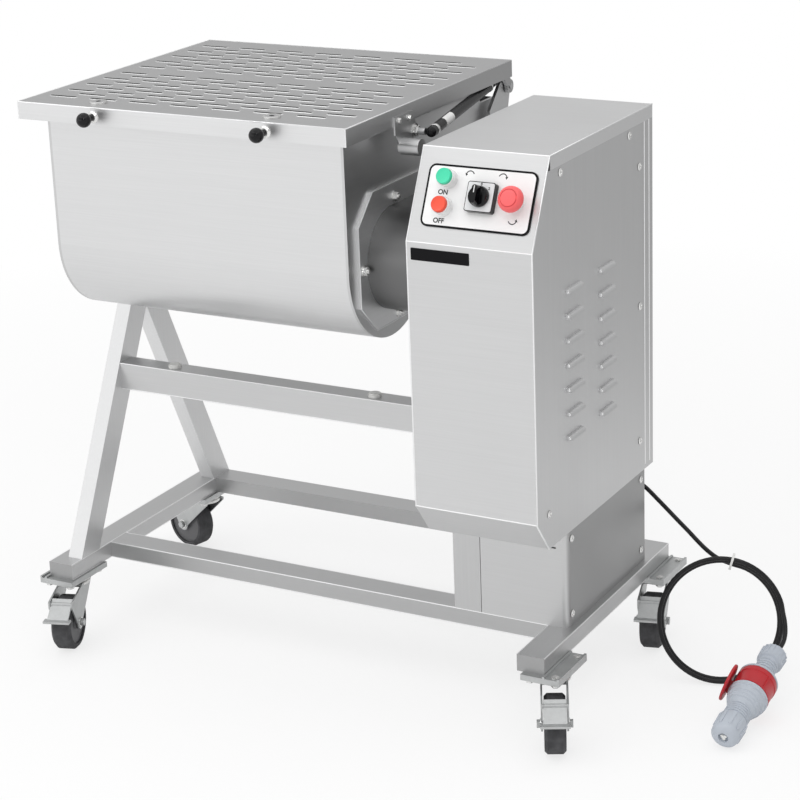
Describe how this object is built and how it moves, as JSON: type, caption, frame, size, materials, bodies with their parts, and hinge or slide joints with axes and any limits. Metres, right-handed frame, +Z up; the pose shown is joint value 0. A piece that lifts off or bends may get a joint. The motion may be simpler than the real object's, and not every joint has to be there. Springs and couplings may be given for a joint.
{
  "type": "meat mixer",
  "caption": "Tilting stainless twin-shaft meat mixer on a wheeled A-frame stand, with slotted hinged lid, drive cabinet with sloped control panel, and coiled mains lead",
  "frame": {"origin": "on the floor, under the middle of the machine without its lead", "axes": "+X along the machine from the stand to the drive cabinet, +Y from the operator's side to the back, +Z up"},
  "size_m": [1.4066, 0.6648, 1.0265],
  "materials": {
    "frame_steel": "satin brushed stainless tube",
    "cabinet_steel": "satin brushed stainless sheet",
    "tub_steel": "satin brushed stainless sheet",
    "lid_steel": "satin brushed stainless sheet",
    "zinc": "bright zinc plate",
    "wheel_rubber": "dark grey rubber tread",
    "cast_housing": "painted casting",
    "shaft_steel": "turned stainless",
    "white_plastic": "white moulded plastic",
    "black_plastic": "black moulded plastic",
    "strut_black": "black painted tube",
    "green_plastic": "green moulded plastic",
    "red_plastic": "red moulded plastic",
    "lead_rubber": "black flexible sheath",
    "tie_plastic": "white nylon strap",
    "coupler_plastic": "light blue-grey moulded plastic"
  },
  "bodies": {
    "base": {"rail_left": "frame_steel", "rail_right": "frame_steel", "rail_front": "frame_steel", "rail_rear": "frame_steel", "leg_front": "frame_steel", "leg_rear": "frame_steel", "apex_plate": "frame_steel", "cross_bar": "frame_steel", "bar_bumpers": "white_plastic", "cabinet_posts": "frame_steel", "bearing_left": "cast_housing", "bearing_right": "cast_housing", "castor_plates": "zinc", "lower_box": "cabinet_steel", "housing_shell": "cabinet_steel", "side_panel": "cabinet_steel", "top_cover": "cabinet_steel", "rear_cover": "cabinet_steel", "control_plate": "white_plastic", "switch_bases": "white_plastic", "gearmotor": "cast_housing", "cable_gland": "black_plastic", "small_fasteners": "zinc", "cord_lead": "lead_rubber", "cord_coil": "lead_rubber", "cord_tail": "lead_rubber", "cord_tie": "tie_plastic", "coupler": "coupler_plastic"},
    "tub": {"tub_trough": "tub_steel", "tub_end_left": "tub_steel", "tub_end_right": "tub_steel", "flange_plate": "tub_steel", "gear_housing": "tub_steel", "shaft_seals": "white_plastic", "hinge_ears": "tub_steel"},
    "lid": {"lid_panel": "lid_steel", "lid_knobs": "black_plastic", "lid_lugs": "lid_steel", "strut_bracket": "lid_steel"},
    "strut_upper": {"strut_rod": "strut_black"},
    "strut_lower": {"strut_body": "strut_black"},
    "pinion": {"drive_pinion": "shaft_steel"},
    "front_paddles": {"front_rotor": "shaft_steel"},
    "rear_paddles": {"rear_rotor": "shaft_steel"},
    "on_cap": {"on_button": "green_plastic"},
    "off_cap": {"off_button": "red_plastic"},
    "selector": {"selector_knob": "black_plastic"},
    "mushroom": {"emergency_stop": "red_plastic"},
    "fork_fl": {"castor_fork_fl": "zinc"},
    "wheel_fl": {"castor_wheel_fl": "wheel_rubber"},
    "pedal_fl": {"castor_pedal_fl": "zinc"},
    "fork_fr": {"castor_fork_fr": "zinc"},
    "wheel_fr": {"castor_wheel_fr": "wheel_rubber"},
    "pedal_fr": {"castor_pedal_fr": "zinc"},
    "fork_rl": {"castor_fork_rl": "zinc"},
    "wheel_rl": {"castor_wheel_rl": "wheel_rubber"},
    "pedal_rl": {"castor_pedal_rl": "zinc"},
    "fork_rr": {"castor_fork_rr": "zinc"},
    "wheel_rr": {"castor_wheel_rr": "wheel_rubber"},
    "pedal_rr": {"castor_pedal_rr": "zinc"}
  },
  "joints": [
    {"name": "tub_tilt", "type": "hinge", "parent": "base", "child": "tub", "pos_m": [0.018, 0.03, 0.768], "axis": [1, 0, 0], "range_deg": [0, 90]},
    {"name": "lid_hinge", "type": "hinge", "parent": "tub", "child": "lid", "pos_m": [0.018, 0.315, 0.976], "axis": [-1, 0, 0], "range_deg": [0, 75]},
    {"name": "strut_swing", "type": "hinge", "parent": "tub", "child": "strut_upper", "pos_m": [0.173, 0.295, 0.985], "axis": [-1, 0, 0], "range_deg": [0, 80]},
    {"name": "strut_slide", "type": "slide", "parent": "strut_upper", "child": "strut_lower", "axis": [0.1688, -0.9852, -0.0293], "range_m": [0, 0.003]},
    {"name": "front_paddle_spin", "type": "hinge", "parent": "tub", "child": "front_paddles", "pos_m": [-0.122, -0.102, 0.768], "axis": [1, 0, 0], "continuous": true},
    {"name": "rear_paddle_spin", "type": "hinge", "parent": "tub", "child": "rear_paddles", "pos_m": [-0.122, 0.162, 0.768], "axis": [1, 0, 0], "continuous": true},
    {"name": "drive_spin", "type": "hinge", "parent": "tub", "child": "pinion", "pos_m": [0.218, 0.03, 0.768], "axis": [1, 0, 0], "continuous": true},
    {"name": "on_press", "type": "slide", "parent": "base", "child": "on_cap", "axis": [0, 0.897, -0.4421], "range_m": [0, 0.004], "stiffness_N_per_m": 400, "springref_m": -0.004},
    {"name": "off_press", "type": "slide", "parent": "base", "child": "off_cap", "axis": [0, 0.897, -0.4421], "range_m": [0, 0.004], "stiffness_N_per_m": 400, "springref_m": -0.004},
    {"name": "selector_turn", "type": "hinge", "parent": "base", "child": "selector", "pos_m": [0.408, -0.23598, 0.92377], "axis": [0, -0.897, 0.4421], "range_deg": [-45, 45]},
    {"name": "stop_press", "type": "slide", "parent": "base", "child": "mushroom", "axis": [0, 0.897, -0.4421], "range_m": [0, 0.004]},
    {"name": "swivel_fl", "type": "hinge", "parent": "base", "child": "fork_fl", "pos_m": [-0.462, -0.214, 0.11], "axis": [0, 0, 1], "continuous": true},
    {"name": "roll_fl", "type": "hinge", "parent": "fork_fl", "child": "wheel_fl", "pos_m": [-0.44655, -0.26155, 0.05], "axis": [0.9511, 0.309, 0], "continuous": true},
    {"name": "brake_fl", "type": "hinge", "parent": "fork_fl", "child": "pedal_fl", "pos_m": [-0.43728, -0.29008, 0.0967], "axis": [0.9511, 0.309, 0], "range_deg": [0, 15]},
    {"name": "swivel_fr", "type": "hinge", "parent": "base", "child": "fork_fr", "pos_m": [0.514, -0.214, 0.11], "axis": [0, 0, 1], "continuous": true},
    {"name": "roll_fr", "type": "hinge", "parent": "fork_fr", "child": "wheel_fr", "pos_m": [0.53592, -0.25894, 0.05], "axis": [0.8988, 0.4384, 0], "continuous": true},
    {"name": "brake_fr", "type": "hinge", "parent": "fork_fr", "child": "pedal_fr", "pos_m": [0.54907, -0.2859, 0.0967], "axis": [0.8988, 0.4384, 0], "range_deg": [0, 15]},
    {"name": "swivel_rl", "type": "hinge", "parent": "base", "child": "fork_rl", "pos_m": [-0.462, 0.228, 0.11], "axis": [0, 0, 1], "continuous": true},
    {"name": "roll_rl", "type": "hinge", "parent": "fork_rl", "child": "wheel_rl", "pos_m": [-0.5103, 0.24094, 0.05], "axis": [-0.2588, -0.9659, 0], "continuous": true},
    {"name": "brake_rl", "type": "hinge", "parent": "fork_rl", "child": "pedal_rl", "pos_m": [-0.53927, 0.24871, 0.0967], "axis": [-0.2588, -0.9659, 0], "range_deg": [0, 15]},
    {"name": "swivel_rr", "type": "hinge", "parent": "base", "child": "fork_rr", "pos_m": [0.514, 0.228, 0.11], "axis": [0, 0, 1], "continuous": true},
    {"name": "roll_rr", "type": "hinge", "parent": "fork_rr", "child": "wheel_rr", "pos_m": [0.5261, 0.17949, 0.05], "axis": [0.9703, 0.2419, 0], "continuous": true},
    {"name": "brake_rr", "type": "hinge", "parent": "fork_rr", "child": "pedal_rr", "pos_m": [0.53335, 0.15038, 0.0967], "axis": [0.9703, 0.2419, 0], "range_deg": [0, 15]}
  ],
  "couplings": [
    {"joint": "strut_swing", "follows": "lid_hinge", "ratio": 1.0584},
    {"joint": "strut_slide", "follows": "lid_hinge", "m_per_rad": 0.00166},
    {"joint": "drive_spin", "follows": "front_paddle_spin", "ratio": -1.5385},
    {"joint": "rear_paddle_spin", "follows": "front_paddle_spin", "ratio": 1}
  ]
}
